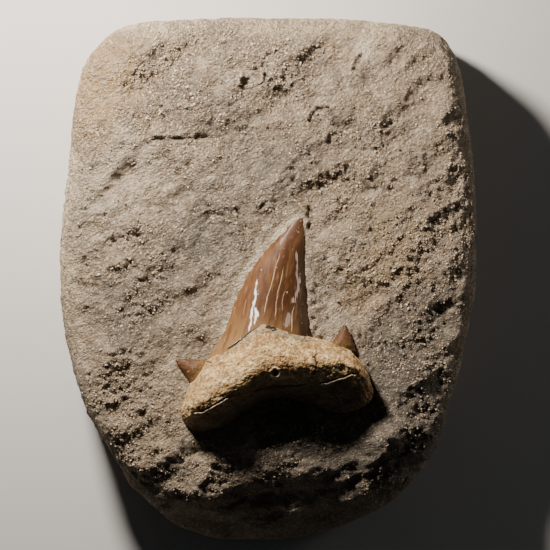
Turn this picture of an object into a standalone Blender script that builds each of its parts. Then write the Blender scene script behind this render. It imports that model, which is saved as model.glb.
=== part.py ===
"""Fossil shark tooth, tongue side up, still set in a hand-sized slab of pale sandy matrix.

The slab lies on its flat sawn back. +X is to the right and +Y is towards the tip of the tooth.
The origin is under the middle of the slab, on the surface that it rests on.
"""

import math

import bmesh
import bpy
import numpy as np
from mathutils import Vector, noise

MM = 0.001

# Slab, millimetres unless the name says otherwise
FACE_HEIGHT = 30.0
RIM_ROLL = 7.0
RIM_SEGMENTS = 5
SPARE_BELOW = 6.0
WALL_LEAN = 0.05
OUTLINE_STEPS = 8
CELL = 1.25
BLOCK_TRIANGLES = 5500

# The slab seen from above, anticlockwise from the middle of the right side
SLAB_OUTLINE = [
    (54.3, 1.0), (54.3, 20.8), (51.6, 44.5), (46.3, 63.2), (37.7, 66.6), (11.7, 67.9), (-12.0, 68.4),
    (-33.8, 66.7), (-43.4, 61.4), (-49.1, 50.4), (-53.0, 25.0), (-54.3, 1.0), (-52.3, -17.9),
    (-45.8, -37.4), (-32.5, -57.5), (-19.0, -66.3), (0.0, -68.6), (21.3, -64.0), (35.6, -55.4),
    (46.3, -38.0), (53.3, -8.3),
]

# Pits in the face: x, y, half width, half height, depth
PITS = [
    (39.5, 55.4, 3.2, 2.4, 1.8), (47.8, 40.3, 1.8, 1.8, 2.0), (43.9, 32.2, 2.4, 1.9, 1.4),
    (48.6, 25.0, 1.8, 3.2, 1.6), (44.7, 12.2, 2.4, 4.0, 1.8), (42.1, -1.0, 3.4, 2.0, 1.4),
    (46.3, -9.4, 4.2, 3.8, 2.6), (34.3, -13.3, 4.4, 1.8, 1.3), (43.9, -26.3, 2.2, 3.2, 1.7),
    (40.8, -35.4, 2.6, 2.0, 1.4), (38.2, -41.1, 3.0, 2.2, 1.7), (-48.6, 27.6, 1.5, 1.5, 1.4),
    (-42.6, 39.5, 2.8, 1.8, 0.9), (-29.4, 8.8, 5.0, 4.0, 1.0), (-37.7, -34.3, 3.0, 2.6, 1.3),
    (-33.3, -37.4, 2.8, 2.4, 1.1), (-32.8, 48.6, 4.6, 3.4, 0.9), (10.8, 43.2, 4.4, 3.6, 0.9),
    (25.5, 59.0, 3.4, 4.2, 0.8),
]

# Broken edges of thin layers, drawn with the low side on the right: depth, reach, points
LEDGES = [
    (1.1, 8.0, [(-31.7, -8.3), (-26.0, -7.4), (-20.8, -5.5)]),
    (1.3, 9.0, [(-45.8, -20.5), (-39.0, -17.2), (-31.7, -17.4)]),
    (1.1, 8.0, [(-41.6, 16.6), (-34.0, 20.9), (-26.8, 23.7)]),
    (1.0, 7.0, [(-20.3, 13.5), (-13.0, 17.4), (-6.0, 20.5)]),
    (1.1, 5.0, [(-29.6, 36.7), (-21.6, 36.7), (-10.7, 37.7)]),
    (0.9, 4.0, [(-8.3, 43.9), (-7.3, 40.0), (-7.8, 36.1), (-6.5, 33.0)]),
]

# The lower end comes down in broken steps: drop, points from left to right
STEPS = [
    (2.6, [(-46.0, -40.0), (-36.0, -45.6), (-30.7, -49.7), (-23.7, -54.9), (-15.6, -56.9), (-6.5, -54.9),
           (4.4, -51.0), (15.3, -49.9), (26.5, -47.6), (40.0, -42.0)]),
    (3.0, [(-34.0, -56.5), (-17.7, -58.9), (-10.7, -58.2), (-1.6, -55.9), (8.3, -54.3), (21.3, -51.7),
           (38.0, -47.0)]),
    (3.2, [(-28.0, -61.0), (-12.5, -62.4), (-2.6, -61.1), (8.3, -61.6), (15.1, -59.5), (26.5, -56.9),
           (38.0, -50.0)]),
]
STEP_RISER = 2.2
STEP_WANDER = (11.0, 2.6)
LOW_END_START = -40.0
LOW_END_SLOPE = 0.12
PLAIN_FOOT = 2.0

# Swells of the whole face and the grainy unevenness on them: wavelength, height
SWELLS = [(34.0, 1.2), (13.0, 1.0), (6.0, 0.6)]
FACE_SHARE = 0.6
WALL_SHARE = 0.45

# Tooth. The cutting edges lie level with the slab's face
EDGE_HEIGHT = 29.6
CROWN_STATIONS = 22
CROWN_AROUND = 20
CROWN_RISE = 8.2
CROWN_UNDER = 2.6
CROWN_TAPER = 0.75
CROWN_FULLNESS = 0.8
TIP_RISE = 0.25
CROWN_LEFT = [(-17.0, -24.0), (-15.6, -20.0), (-13.1, -16.6), (-10.5, -10.8), (-8.3, -4.0), (-4.9, 2.5),
              (0.4, 8.9), (5.8, 14.7), (8.6, 16.9)]
CROWN_RIGHT = [(12.6, -21.0), (11.8, -17.0), (11.5, -12.0), (10.9, -7.5), (10.3, -1.5), (9.9, 4.6),
               (9.8, 9.0), (9.7, 13.0), (9.5, 16.6)]

# Root lines, from the left lobe to the right one: x and y, and for the crest its height above the face
ROOT_TOP = [(-22.4, -34.0), (-21.6, -30.0), (-19.8, -26.6), (-16.0, -21.6), (-11.6, -19.0), (-7.3, -15.8),
            (-4.2, -13.2), (-0.9, -11.8), (2.3, -13.0), (7.9, -15.0), (11.7, -15.2), (16.5, -17.0),
            (21.8, -19.2), (25.2, -23.4), (27.3, -29.2)]
ROOT_TOP_RISE = [(-22.4, 0.2), (-16.0, 0.6), (-13.0, 3.0), (-9.0, 6.2), (-4.0, 8.0), (1.0, 8.2), (5.5, 7.0),
                 (8.5, 4.6), (11.7, 1.6), (16.0, 1.0), (27.3, 0.2)]
ROOT_CREST = [(-22.4, -34.6), (-20.3, -34.0), (-14.3, -32.6), (-11.2, -31.0), (-7.3, -29.4), (-4.4, -27.2),
              (-1.4, -24.8), (2.2, -23.3), (6.5, -23.2), (10.9, -24.3), (15.5, -25.6), (20.0, -25.6),
              (24.4, -26.4), (27.3, -29.6)]
ROOT_CREST_RISE = [(-22.4, 1.2), (-21.6, 5.0), (-19.5, 8.4), (-15.0, 9.8), (-10.0, 10.4), (-5.0, 11.8),
                   (0.0, 12.8), (5.0, 12.8), (10.0, 11.6), (16.0, 10.4), (21.0, 9.4), (24.6, 7.4),
                   (26.6, 4.2), (27.3, 1.0)]
ROOT_BASE = [(-22.4, -35.2), (-21.6, -37.9), (-19.6, -39.8), (-16.2, -40.3), (-11.2, -39.0), (-7.3, -36.4),
             (-3.0, -33.0), (1.3, -31.5), (6.0, -31.5), (11.2, -33.5), (16.4, -35.7), (20.5, -35.7),
             (24.4, -34.3), (26.4, -32.4), (27.3, -30.0)]
ROOT_BURIED = 4.2
ROOT_END_BURIED = 0.8
ROOT_STATIONS = 34
ROOT_SLOPE_STEPS = 8
ROOT_SLOPE_POWER = 1.1
ROOT_BASE_POWER = 0.85
ROOT_UNDERSIDE = (0.12, 0.35, 0.65, 0.88)
ROOT_ENDS = (-22.4, 27.3)

# Side cusplets: middle of the foot, tip, half width, half thickness
CUSPLETS = [
    ((19.0, -18.6), (19.8, -11.9), 3.5, 2.8),
    ((-17.0, -24.6), (-23.5, -20.8), 3.7, 2.6),
]
CUSPLET_LIFT = 0.8
CUSPLET_STATIONS = 7
CUSPLET_AROUND = 10
CUSPLET_TAPER = 0.8
CUSPLET_TIP_SHARE = 0.03

# The pore for the nerve on the root's crest
PORE = (2.3, -23.9)
PORE_RADIUS = 0.7
PORE_BOTTOM_RADIUS = 0.42
PORE_DEPTH = 2.4
PORE_SIDES = 12

# Clearance between the tooth and its pocket, and how far a sharp edge may move to keep it
POCKET_GAP = 0.34
SHARPEST = 2.0


def clear_scene():
    for old in list(bpy.data.objects):
        bpy.data.objects.remove(old, do_unlink=True)


def make_collection(name):
    group = bpy.data.collections.new(name)
    bpy.context.scene.collection.children.link(group)
    return group


def make_material(name, colour, roughness):
    material = bpy.data.materials.new(name)
    material.use_nodes = True
    shader = material.node_tree.nodes["Principled BSDF"]
    shader.inputs["Base Color"].default_value = (*colour, 1.0)
    shader.inputs["Roughness"].default_value = roughness
    shader.inputs["Metallic"].default_value = 0.0
    return material


def add_object(name, mesh, group):
    piece = bpy.data.objects.new(name, mesh)
    group.objects.link(piece)
    return piece


def apply_modifiers(piece):
    """Replace the object's mesh by the one that its modifiers give."""
    graph = bpy.context.evaluated_depsgraph_get()
    made = bpy.data.meshes.new_from_object(piece.evaluated_get(graph))
    piece.modifiers.clear()
    piece.data = made


def boolean(piece, other, operation, solver="EXACT"):
    cut = piece.modifiers.new(operation.lower(), "BOOLEAN")
    cut.operation = operation
    cut.solver = solver
    cut.object = other


def smooth(value):
    """An eased step: 0 up to 0, 1 from 1 on."""
    value = np.clip(value, 0.0, 1.0)
    return value * value * (3.0 - 2.0 * value)


def spline(points, count):
    """Evenly spaced places on a smooth curve through the points."""
    knots = [Vector(point) for point in points]
    knots = [2 * knots[0] - knots[1]] + knots + [2 * knots[-1] - knots[-2]]
    fine = []
    for before, start, end, after in zip(knots, knots[1:], knots[2:], knots[3:]):
        for step in range(10):
            u = step / 10
            fine.append(0.5 * (2 * start + (end - before) * u
                               + (2 * before - 5 * start + 4 * end - after) * u ** 2
                               + (3 * start - before - 3 * end + after) * u ** 3))
    fine.append(knots[-2])
    run = np.cumsum([0.0] + [(b - a).length for a, b in zip(fine, fine[1:])])
    places = np.linspace(0.0, run[-1], count)
    return np.stack([np.interp(places, run, [p[axis] for p in fine]) for axis in (0, 1)], axis=1)


def level_at(line, x):
    """The second value of a line of points at x, eased through its corners."""
    spread = 0.8
    xs, values = zip(*line)
    offsets = (-spread, -spread / 2, 0.0, spread / 2, spread)
    return sum(float(np.interp(x + offset, xs, values)) for offset in offsets) / len(offsets)


def side_of_line(x, y, points):
    """Distance to a broken line, positive on its right side, and how far along it is, 0 to 1."""
    best = np.full(x.shape, 1e9)
    signed = np.zeros(x.shape)
    along = np.zeros(x.shape)
    lengths = [math.dist(a, b) for a, b in zip(points, points[1:])]
    done = 0.0
    for (ax, ay), (bx, by), length in zip(points, points[1:], lengths):
        ux, uy = (bx - ax) / length, (by - ay) / length
        run = np.clip((x - ax) * ux + (y - ay) * uy, 0.0, length)
        dx, dy = x - ax - run * ux, y - ay - run * uy
        distance = np.hypot(dx, dy)
        closer = distance < best
        side = np.where((x - ax) * uy - (y - ay) * ux > 0.0, 1.0, -1.0)
        best = np.where(closer, distance, best)
        signed = np.where(closer, distance * side, signed)
        along = np.where(closer, (done + run) / sum(lengths), along)
        done += length
    return signed, along


def face_relief(x, y):
    """How far the slab's face lies below its general level, in millimetres."""
    low = np.zeros(x.shape)
    for px, py, half_width, half_height, depth in PITS:
        away = np.hypot((x - px) / half_width, (y - py) / half_height)
        low = np.maximum(low, depth * smooth(1.5 - away))
    for depth, reach, points in LEDGES:
        side, along = side_of_line(x, y, points)
        ends = smooth(6.0 * np.minimum(along, 1.0 - along))
        low += depth * ends * smooth(side / 1.2 + 0.5) * (1.0 - smooth((side - 1.0) / reach))
    wavelength, size = STEP_WANDER
    places = [Vector((px, py, 0.0)) / wavelength for px, py in zip(x, y)]
    wander = size * np.array([noise.noise(place) for place in places])
    for drop, points in STEPS:
        side, _ = side_of_line(x, y + wander, points)
        low += drop * smooth(side / STEP_RISER + 0.5)
    low += LOW_END_SLOPE * np.clip(LOW_END_START - y, 0.0, None)
    return low


def swell(point):
    """Unevenness of a broken surface at a place, in millimetres."""
    return sum(size * noise.noise(point / wavelength) for wavelength, size in SWELLS)


def make_block(group):
    """The slab: its outline as a thick rounded plate, remeshed so that the face can be carved."""
    outline = bpy.data.curves.new("slab_outline", "CURVE")
    outline.dimensions = "2D"
    outline.fill_mode = "BOTH"
    outline.resolution_u = OUTLINE_STEPS
    outline.extrude = (FACE_HEIGHT + SPARE_BELOW) / 2 * MM - RIM_ROLL * MM
    outline.bevel_depth = RIM_ROLL * MM
    outline.bevel_resolution = RIM_SEGMENTS
    outline.offset = -RIM_ROLL * MM
    rim = outline.splines.new("BEZIER")
    rim.use_cyclic_u = True
    rim.bezier_points.add(len(SLAB_OUTLINE) - 1)
    for knot, (x, y) in zip(rim.bezier_points, SLAB_OUTLINE):
        knot.co = (x * MM, y * MM, 0.0)
        knot.handle_left_type = "AUTO"
        knot.handle_right_type = "AUTO"
    plate = add_object("plate", outline, group)
    plate.location.z = (FACE_HEIGHT - SPARE_BELOW) / 2 * MM
    bpy.context.view_layer.update()
    graph = bpy.context.evaluated_depsgraph_get()
    mesh = bpy.data.meshes.new_from_object(plate.evaluated_get(graph))
    mesh.transform(plate.matrix_world)
    bpy.data.objects.remove(plate)

    form = bmesh.new()
    form.from_mesh(mesh)
    bmesh.ops.remove_doubles(form, verts=form.verts, dist=0.00001)
    bmesh.ops.recalc_face_normals(form, faces=form.faces)
    form.to_mesh(mesh)
    form.free()

    block = add_object("matrix_block", mesh, group)
    fine = block.modifiers.new("fine_skin", "REMESH")
    fine.mode = "VOXEL"
    fine.voxel_size = CELL * MM
    apply_modifiers(block)
    carve_block(block.data)
    thin = block.modifiers.new("thin_out", "DECIMATE")
    thin.ratio = BLOCK_TRIANGLES / (2 * len(block.data.polygons))
    thin.use_collapse_triangulate = True
    apply_modifiers(block)
    saw_back_flat(block.data)
    return block


def carve_block(mesh):
    """Lower the face by its relief and roughen all sides."""
    places = np.array([vertex.co / MM for vertex in mesh.vertices])
    normals = np.array([vertex.normal for vertex in mesh.vertices])
    x, y, z = places.T.copy()
    facing_up = smooth((z - FACE_HEIGHT) / RIM_ROLL + 1.0)
    depth_share = np.clip((z - PLAIN_FOOT) / (FACE_HEIGHT - PLAIN_FOOT), 0.0, 1.0)
    rough = np.array([swell(Vector(place)) for place in places])
    places[:, 2] = z - face_relief(x, y) * depth_share + FACE_SHARE * rough * facing_up
    lean = WALL_LEAN * np.clip(FACE_HEIGHT - z, 0.0, None)
    places[:, :2] += normals[:, :2] * (WALL_SHARE * rough - lean)[:, None]
    for vertex, place in zip(mesh.vertices, places):
        vertex.co = Vector(place) * MM


def saw_back_flat(mesh):
    form = bmesh.new()
    form.from_mesh(mesh)
    everything = form.verts[:] + form.edges[:] + form.faces[:]
    bmesh.ops.bisect_plane(form, geom=everything, plane_co=(0, 0, 0), plane_no=(0, 0, -1), clear_outer=True)
    rim = [edge for edge in form.edges if edge.is_boundary]
    bmesh.ops.holes_fill(form, edges=rim)
    bmesh.ops.dissolve_limit(form, angle_limit=0.001, verts=form.verts, edges=form.edges)
    bmesh.ops.triangulate(form, faces=form.faces)
    bmesh.ops.recalc_face_normals(form, faces=form.faces)
    form.to_mesh(mesh)
    form.free()


def loft(name, rings, group):
    """A closed body through rings with equal numbers of places, flat at both ends."""
    form = bmesh.new()
    loops = [[form.verts.new(Vector(place) * MM) for place in ring] for ring in rings]
    for ring, following in zip(loops, loops[1:]):
        for index in range(len(ring)):
            after = (index + 1) % len(ring)
            form.faces.new((ring[index], ring[after], following[after], following[index]))
    form.faces.new(loops[0])
    form.faces.new(loops[-1])
    bmesh.ops.triangulate(form, faces=form.faces)
    bmesh.ops.recalc_face_normals(form, faces=form.faces)
    mesh = bpy.data.meshes.new(name)
    form.to_mesh(mesh)
    form.free()
    return add_object(name, mesh, group)


def make_crown(group):
    """The blade: lens-shaped sections between its two cutting edges, thick at the neck, thin at the tip."""
    left = spline(CROWN_LEFT, CROWN_STATIONS)
    right = spline(CROWN_RIGHT, CROWN_STATIONS)
    rings = []
    for index in range(CROWN_STATIONS):
        run = index / (CROWN_STATIONS - 1)
        middle = (left[index] + right[index]) / 2
        half = (right[index] - left[index]) / 2
        thickness = (1.0 - run) ** CROWN_TAPER
        rise = CROWN_RISE * thickness + TIP_RISE
        under = CROWN_UNDER * thickness + TIP_RISE
        ring = []
        for step in range(CROWN_AROUND):
            turn = 2 * math.pi * step / CROWN_AROUND
            across = math.cos(turn)
            bulge = (1.0 - across * across) ** CROWN_FULLNESS
            height = rise * bulge if turn < math.pi else -under * bulge
            x, y = middle + half * across
            ring.append((x, y, EDGE_HEIGHT + height))
        rings.append(ring)
    return loft("crown", rings, group)


def make_root(group):
    """The two-lobed bone: sections across it from the neck, over the crest and down the steep base."""
    left_end, right_end = ROOT_ENDS
    rings = []
    for index in range(ROOT_STATIONS):
        swing = math.pi * index / (ROOT_STATIONS - 1)
        x = (left_end + right_end) / 2 - (right_end - left_end) / 2 * math.cos(swing)
        top, crest, base = (level_at(line, x) for line in (ROOT_TOP, ROOT_CREST, ROOT_BASE))
        top_rise = level_at(ROOT_TOP_RISE, x)
        crest_rise = level_at(ROOT_CREST_RISE, x)
        ring = []
        for step in range(ROOT_SLOPE_STEPS):
            u = step / ROOT_SLOPE_STEPS
            lift = top_rise + (crest_rise - top_rise) * math.sin(u * math.pi / 2) ** ROOT_SLOPE_POWER
            ring.append((x, top + (crest - top) * u, FACE_HEIGHT + lift))
        for step in range(ROOT_SLOPE_STEPS):
            turn = step / (ROOT_SLOPE_STEPS - 1) * math.pi / 2
            drop = crest_rise * max(0.0, math.cos(turn)) ** ROOT_BASE_POWER
            ring.append((x, crest + (base - crest) * math.sin(turn), FACE_HEIGHT + drop))
        under = max(ROOT_END_BURIED, ROOT_BURIED * math.sqrt(max(0.0, math.sin(swing))))
        for share in ROOT_UNDERSIDE:
            ring.append((x, base + (top - base) * share, FACE_HEIGHT - under))
        rings.append(ring)
    return loft("root", rings, group)


def make_cusplet(foot, tip, half_width, half_thickness, group):
    """A small pointed side blade, flattened like the crown."""
    foot, tip = Vector(foot), Vector(tip)
    forward = (tip - foot).normalized()
    across = Vector((forward.y, -forward.x))
    rings = []
    for step in range(CUSPLET_STATIONS):
        run = step / (CUSPLET_STATIONS - 1)
        narrow = (1.0 - run) ** CUSPLET_TAPER + CUSPLET_TIP_SHARE
        middle = foot + (tip - foot) * run
        ring = []
        for corner in range(CUSPLET_AROUND):
            turn = 2 * math.pi * corner / CUSPLET_AROUND
            place = middle + across * (half_width * narrow * math.cos(turn))
            height = EDGE_HEIGHT + CUSPLET_LIFT + half_thickness * narrow * math.sin(turn)
            ring.append((place.x, place.y, height))
        rings.append(ring)
    return loft("cusplet", rings, group)


def make_pore(cutters):
    """The round hole that the nerve came out of."""
    form = bmesh.new()
    bmesh.ops.create_cone(form, cap_ends=True, segments=PORE_SIDES, radius1=PORE_BOTTOM_RADIUS * MM,
                          radius2=PORE_RADIUS * MM, depth=2 * PORE_DEPTH * MM)
    mesh = bpy.data.meshes.new("pore")
    form.to_mesh(mesh)
    form.free()
    pore = add_object("pore", mesh, cutters)
    rise = FACE_HEIGHT + level_at(ROOT_CREST_RISE, PORE[0])
    pore.location = (PORE[0] * MM, PORE[1] * MM, rise * MM)
    return pore


def swollen_copy(shape, cutters):
    """The same form a hair larger all over, to hollow the slab by."""
    mesh = shape.data.copy()
    form = bmesh.new()
    form.from_mesh(mesh)
    form.normal_update()
    factors = [min(SHARPEST, vertex.calc_shell_factor()) for vertex in form.verts]
    for vertex, factor in zip(form.verts, factors):
        vertex.co += vertex.normal * POCKET_GAP * factor * MM
    form.to_mesh(mesh)
    form.free()
    return add_object(shape.name + "_pocket", mesh, cutters)


def make_tooth(group, cutters):
    """Crown, root and cusplets grown together as one piece, and the hollows that they lie in."""
    tooth = make_crown(group)
    others = [make_root(cutters)]
    for foot, tip, half_width, half_thickness in CUSPLETS:
        others.append(make_cusplet(foot, tip, half_width, half_thickness, cutters))
    pockets = [swollen_copy(shape, cutters) for shape in [tooth] + others]
    tooth.name = "shark_tooth"
    for other in others:
        boolean(tooth, other, "UNION")
    pore = make_pore(cutters)
    boolean(tooth, pore, "DIFFERENCE")
    for cutter in others + pockets + [pore]:
        cutter.hide_render = True
        cutter.display_type = "WIRE"
    bpy.context.view_layer.update()
    apply_modifiers(tooth)
    return tooth, pockets


clear_scene()
fossil = make_collection("fossil_shark_tooth")
cutting = make_collection("cutters")
block = make_block(fossil)
tooth, pockets = make_tooth(fossil, cutting)
for pocket in pockets:
    boolean(block, pocket, "DIFFERENCE", solver="MANIFOLD")
block.data.materials.clear()
block.data.materials.append(make_material("pale_sandy_matrix", (0.62, 0.54, 0.44), 0.95))
tooth.data.materials.clear()
tooth.data.materials.append(make_material("fossil_enamel_and_bone", (0.36, 0.21, 0.11), 0.45))
bpy.context.view_layer.update()
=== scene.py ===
import math

import bpy
import numpy as np
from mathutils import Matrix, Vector, noise


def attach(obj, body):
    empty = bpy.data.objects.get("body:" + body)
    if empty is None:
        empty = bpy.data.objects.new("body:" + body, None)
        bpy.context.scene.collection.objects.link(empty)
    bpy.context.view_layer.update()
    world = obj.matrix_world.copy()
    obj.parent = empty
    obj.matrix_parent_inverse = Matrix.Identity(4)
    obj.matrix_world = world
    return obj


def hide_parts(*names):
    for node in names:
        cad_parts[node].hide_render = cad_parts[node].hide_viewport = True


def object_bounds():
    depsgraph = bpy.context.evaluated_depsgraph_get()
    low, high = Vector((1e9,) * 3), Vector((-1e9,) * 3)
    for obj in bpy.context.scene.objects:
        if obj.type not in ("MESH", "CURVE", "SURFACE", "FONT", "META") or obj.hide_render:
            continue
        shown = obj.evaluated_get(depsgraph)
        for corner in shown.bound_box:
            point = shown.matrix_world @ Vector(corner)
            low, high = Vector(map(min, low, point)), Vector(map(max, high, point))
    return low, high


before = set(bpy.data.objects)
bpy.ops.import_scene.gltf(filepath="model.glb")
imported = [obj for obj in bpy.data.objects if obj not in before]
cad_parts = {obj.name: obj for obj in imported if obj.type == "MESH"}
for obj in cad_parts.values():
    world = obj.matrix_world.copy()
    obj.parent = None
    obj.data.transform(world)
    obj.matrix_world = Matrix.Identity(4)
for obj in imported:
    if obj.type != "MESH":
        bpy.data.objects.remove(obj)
cad_box = [list(corner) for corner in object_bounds()]


# Root of the tooth
# The root is the bone that held the tooth in the jaw: two rounded lobes joined by a high crest.
# It grew in one piece with the crown, and its steep under side faces the lower end of the slab.

MM = 0.001
# Height of the slab's face above its back, in millimetres as all measures here
FACE = 30.0
# Where the root ends at the left and at the right
ROOT_ENDS = (-22.4, 27.3)
# Lines across the root from left to right, seen from above: x, y
ROOT_NECK = [
    (-22.4, -34.0), (-21.6, -29.8), (-19.8, -26.0), (-16.0, -20.8), (-11.6, -18.1), (-7.3, -15.0),
    (-4.2, -12.5), (-0.9, -11.2), (2.3, -12.5), (7.9, -14.5), (11.7, -14.6), (16.5, -16.2),
    (21.8, -18.4), (25.2, -22.8), (27.3, -29.2),
]
ROOT_CREST = [
    (-22.4, -34.7), (-20.0, -33.9), (-16.4, -32.5), (-10.8, -29.8), (-6.5, -27.1), (-3.9, -25.5),
    (-0.5, -24.1), (2.1, -23.5), (4.7, -23.4), (8.6, -23.8), (13.3, -23.5), (19.3, -22.7),
    (22.8, -23.8), (25.6, -26.7), (27.3, -29.7),
]
ROOT_BASE = [
    (-22.4, -35.2), (-21.6, -37.9), (-19.6, -39.8), (-16.2, -40.3), (-11.2, -39.0), (-7.3, -36.4),
    (-3.0, -33.0), (1.3, -31.5), (6.0, -31.5), (11.2, -33.5), (16.4, -35.7), (20.5, -35.7),
    (24.4, -34.3), (26.4, -32.4), (27.3, -30.0),
]
# How far the neck and the crest stand above the face of the slab: x, rise
ROOT_NECK_RISE = [
    (-22.4, 0.2), (-16.0, 0.8), (-13.0, 2.2), (-9.0, 4.8), (-4.0, 6.7), (1.0, 6.9), (5.5, 6.0),
    (8.5, 4.2), (11.7, 1.9), (16.0, 1.9), (21.0, 1.7), (27.3, 0.2),
]
ROOT_CREST_RISE = [
    (-22.4, 1.2), (-21.6, 5.0), (-19.5, 8.4), (-15.0, 9.8), (-10.0, 10.4), (-5.0, 11.8),
    (0.0, 12.8), (5.0, 12.8), (10.0, 11.6), (16.0, 10.4), (21.0, 9.4), (24.6, 7.4),
    (26.6, 4.2), (27.3, 1.0),
]
ROOT_BURIED = 4.0
# A ring of the root is the slope up to the first share, the base up to the second, then the buried side
CREST_SHARE = 0.42
BASE_SHARE = 0.8


def level_at(line, x):
    """The second value of a line of points at x, eased through its corners."""
    xs, values = zip(*line)
    offsets = (-0.8, -0.4, 0.0, 0.4, 0.8)
    return sum(float(np.interp(x + offset, xs, values)) for offset in offsets) / len(offsets)


def eased(value):
    """0 up to 0, 1 from 1 on, and a smooth step between them."""
    value = np.clip(value, 0.0, 1.0)
    return value * value * (3.0 - 2.0 * value)


def pick(piece):
    """Selects the piece alone, as the one to work on."""
    bpy.ops.object.select_all(action="DESELECT")
    piece.select_set(True)
    bpy.context.view_layer.objects.active = piece


def apply_modifiers(piece):
    pick(piece)
    for modifier in list(piece.modifiers):
        bpy.ops.object.modifier_apply(modifier=modifier.name)


def ringed_tube(name, around, rings, shape, fineness):
    """A cylinder cut into rings, each ring drawn out to its section, and the whole smoothed."""
    bpy.ops.object.select_all(action="DESELECT")
    bpy.ops.mesh.primitive_cylinder_add(vertices=around, radius=1.0, depth=1.0, end_fill_type="NGON")
    piece = bpy.context.object
    piece.name = name
    bpy.ops.object.mode_set(mode="EDIT")
    bpy.ops.mesh.select_mode(type="EDGE")
    bpy.ops.mesh.select_all(action="DESELECT")
    bpy.ops.object.mode_set(mode="OBJECT")
    for edge in piece.data.edges:
        low, high = (piece.data.vertices[index].co.z for index in edge.vertices)
        edge.select = abs(high - low) > 0.5
    bpy.ops.object.mode_set(mode="EDIT")
    bpy.ops.mesh.subdivide(number_cuts=rings - 2)
    bpy.ops.object.mode_set(mode="OBJECT")
    for vertex in piece.data.vertices:
        turn = math.atan2(vertex.co.y, vertex.co.x) / (2 * math.pi) % 1.0
        vertex.co = Vector(shape(vertex.co.z + 0.5, turn)) * MM
    bpy.ops.object.mode_set(mode="EDIT")
    bpy.ops.mesh.select_all(action="SELECT")
    bpy.ops.mesh.normals_make_consistent(inside=False)
    bpy.ops.object.mode_set(mode="OBJECT")
    finer = piece.modifiers.new("finer", "SUBSURF")
    finer.levels = fineness
    finer.render_levels = fineness
    apply_modifiers(piece)
    bpy.ops.object.shade_smooth()
    return piece


def places_of(piece):
    """The piece's points in millimetres, and the directions that they face."""
    count = len(piece.data.vertices)
    places, facing = np.empty(count * 3), np.empty(count * 3)
    piece.data.vertices.foreach_get("co", places)
    piece.data.vertices.foreach_get("normal", facing)
    return places.reshape(-1, 3) / MM, facing.reshape(-1, 3)


def put_back(piece, places):
    """Moves the piece's points to new places, in millimetres."""
    piece.data.vertices.foreach_set("co", (places * MM).ravel())
    piece.data.update()


def note(piece, name, values):
    """Keep a value for each point, for the finish to read."""
    layer = piece.data.attributes.new(name, "FLOAT", "POINT")
    layer.data.foreach_set("value", np.asarray(values, dtype=np.float32))


def cloudy(places, size, shift=0.0):
    """Soft noise between -1 and 1 with lumps of a size in millimetres; a shift gives another pattern."""
    scaled = places / size + shift
    return np.array([noise.noise(Vector(place)) for place in scaled])


def side_of(x, y, points):
    """Distance from a drawn line, positive on its right, and how far along it, from 0 to 1."""
    nearest = np.full(x.shape, 1e9)
    signed, along = np.zeros(x.shape), np.zeros(x.shape)
    lengths = [math.dist(a, b) for a, b in zip(points, points[1:])]
    done = 0.0
    for (ax, ay), (bx, by), length in zip(points, points[1:], lengths):
        ux, uy = (bx - ax) / length, (by - ay) / length
        run = np.clip((x - ax) * ux + (y - ay) * uy, 0.0, length)
        distance = np.hypot(x - ax - run * ux, y - ay - run * uy)
        closer = distance < nearest
        side = np.where((x - ax) * uy - (y - ay) * ux > 0.0, 1.0, -1.0)
        nearest = np.where(closer, distance, nearest)
        signed = np.where(closer, distance * side, signed)
        along = np.where(closer, (done + run) / sum(lengths), along)
        done += length
    return signed, along


def scored(x, y, lines, wander=0.0, ragged=0.0):
    """How deep narrow lines are cut at each point; each line has a depth, a half width and its points."""
    deep = np.zeros(x.shape)
    for depth, half_width, points in lines:
        signed, along = side_of(x + wander, y + wander * 0.5, points)
        taper = eased(5.0 * np.minimum(along, 1.0 - along) + 0.2)
        deep = np.maximum(deep, depth * eased(1.5 * taper + ragged - np.abs(signed) / half_width))
    return deep


def root_section(run, turn):
    """Points of the root: across the slope from neck to crest, down the base, and back underneath."""
    left, right = ROOT_ENDS
    x = (left + right) / 2 - (right - left) / 2 * math.cos(math.pi * run)
    neck, crest, base = (level_at(line, x) for line in (ROOT_NECK, ROOT_CREST, ROOT_BASE))
    neck_rise, crest_rise = level_at(ROOT_NECK_RISE, x), level_at(ROOT_CREST_RISE, x)
    if turn < CREST_SHARE:
        share = turn / CREST_SHARE
        lift = neck_rise + (crest_rise - neck_rise) * math.sin(min(share / 0.8, 1.0) * math.pi / 2) ** 1.1
        lift -= 0.06 * crest_rise * max(0.0, share / 0.2 - 4.0) ** 2
        return x, neck + (crest - neck) * share, FACE + lift
    if turn < BASE_SHARE:
        share = (turn - CREST_SHARE) / (BASE_SHARE - CREST_SHARE)
        lift = 0.94 * crest_rise * (1.0 - 0.45 * share - 0.55 * share ** 1.9)
        return x, crest + (base - crest) * share, FACE + lift
    share = (turn - BASE_SHARE) / (1.0 - BASE_SHARE)
    under = max(0.8, ROOT_BURIED * math.sqrt(math.sin(math.pi * min(1.0, max(0.0, run)))))
    return x, base + (neck - base) * (0.1 + 0.8 * share), FACE - under


root = ringed_tube("tooth_root", 40, 38, root_section, 3)

# Two long cracks run under the crest, and each has a raised lip on its lower side, painted pale as a painted
# highlight where it catches the lamp
LONG_CRACKS = [
    [(-20.6, -34.8), (-18.6, -34.2), (-16.1, -33.7), (-13.0, -31.9), (-10.5, -30.4), (-8.3, -30.4)],
    [(12.7, -26.9), (15.2, -26.6), (17.7, -25.7), (19.6, -25.2), (21.3, -24.4), (23.7, -24.4)],
]
LIP_BELOW = 0.5
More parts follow.
